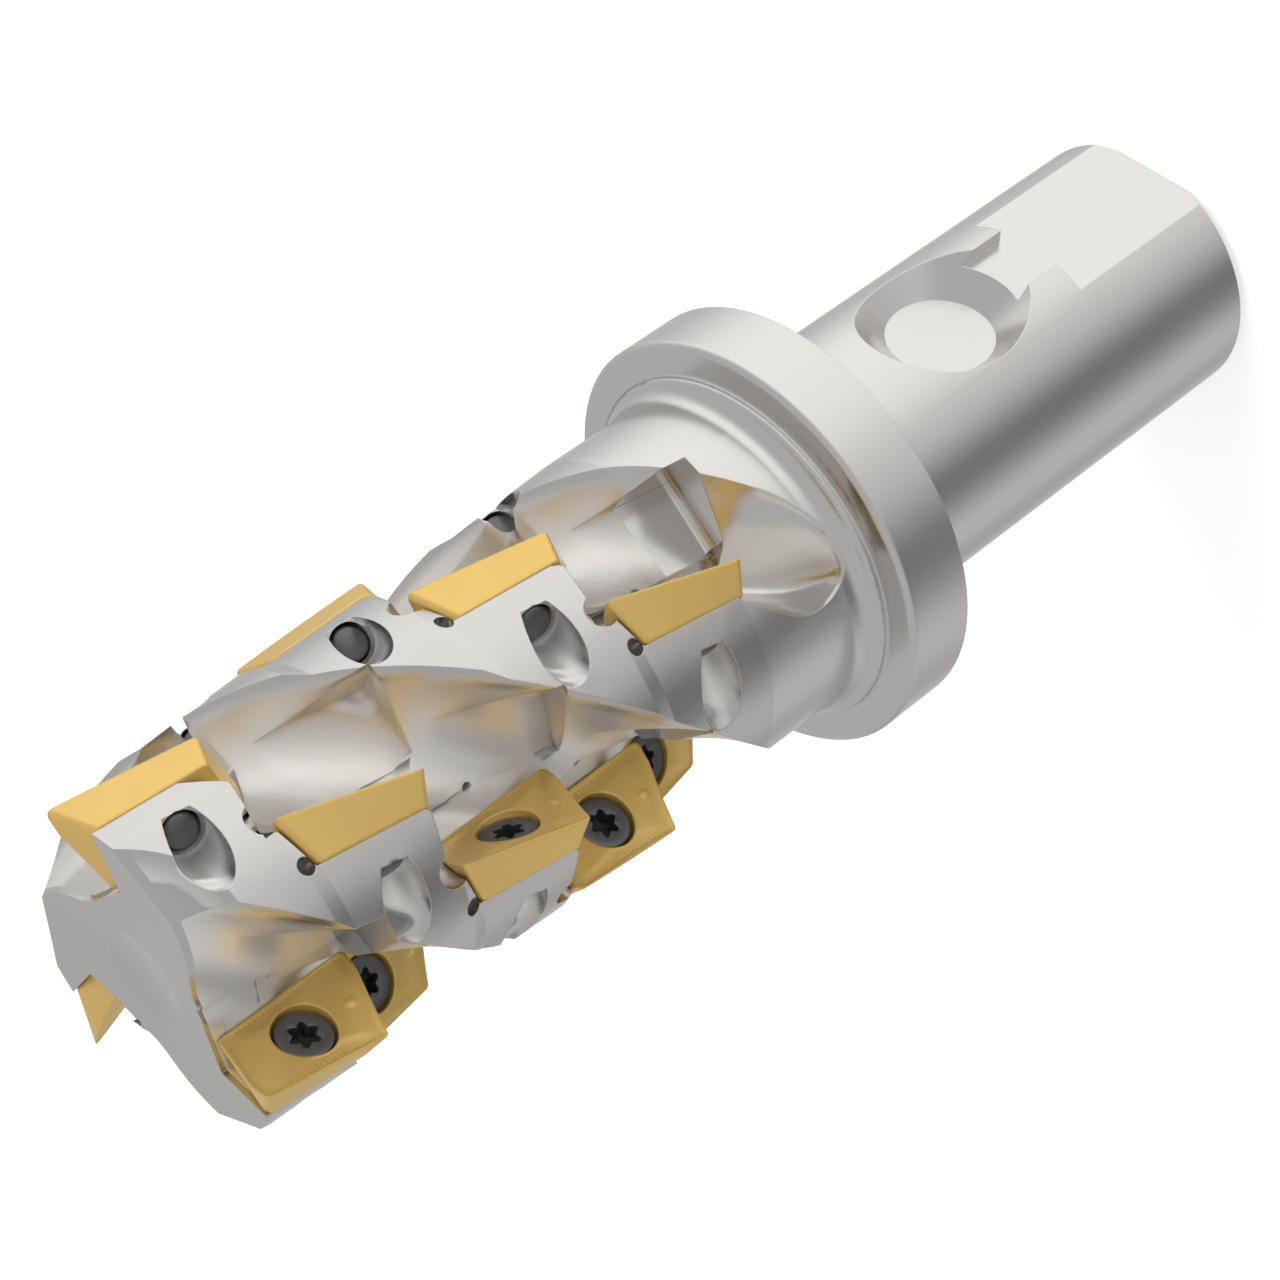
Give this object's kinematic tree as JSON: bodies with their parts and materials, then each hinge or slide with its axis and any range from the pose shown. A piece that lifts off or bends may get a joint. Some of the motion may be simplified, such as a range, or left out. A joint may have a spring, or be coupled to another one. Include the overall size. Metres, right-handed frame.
{
  "type": "indexable end mill",
  "caption": "Shank-type milling cutter with helical flutes, coated inserts held by screws, a collar and a flatted parallel shank.",
  "frame": {"origin": "centre of the flat end of the shank", "axes": "+Z along the tool's axis toward the cutting end, +X out of the flat on the shank, +Y completes a right-handed frame"},
  "size_m": [0.05, 0.05, 0.1539],
  "materials": {
    "body_steel": "satin ground tool steel with a pale nickel tone",
    "insert_coating": "gold-coloured hard coating on sintered carbide, satin",
    "screw_black": "black oxide, satin"
  },
  "bodies": {
    "root": {"cutter_body": "body_steel", "insert_a1": "insert_coating", "insert_a2": "insert_coating", "insert_a3": "insert_coating", "insert_a4": "insert_coating", "insert_a5": "insert_coating", "insert_b1": "insert_coating", "insert_b2": "insert_coating", "insert_b3": "insert_coating", "insert_b4": "insert_coating", "insert_b5": "insert_coating", "insert_c1": "insert_coating", "insert_c2": "insert_coating", "insert_c3": "insert_coating", "insert_c4": "insert_coating", "insert_c5": "insert_coating", "screws_row_1": "screw_black", "screws_row_2": "screw_black", "screws_row_3": "screw_black", "screws_row_4": "screw_black", "screws_row_5": "screw_black"}
  },
  "joints": []
}
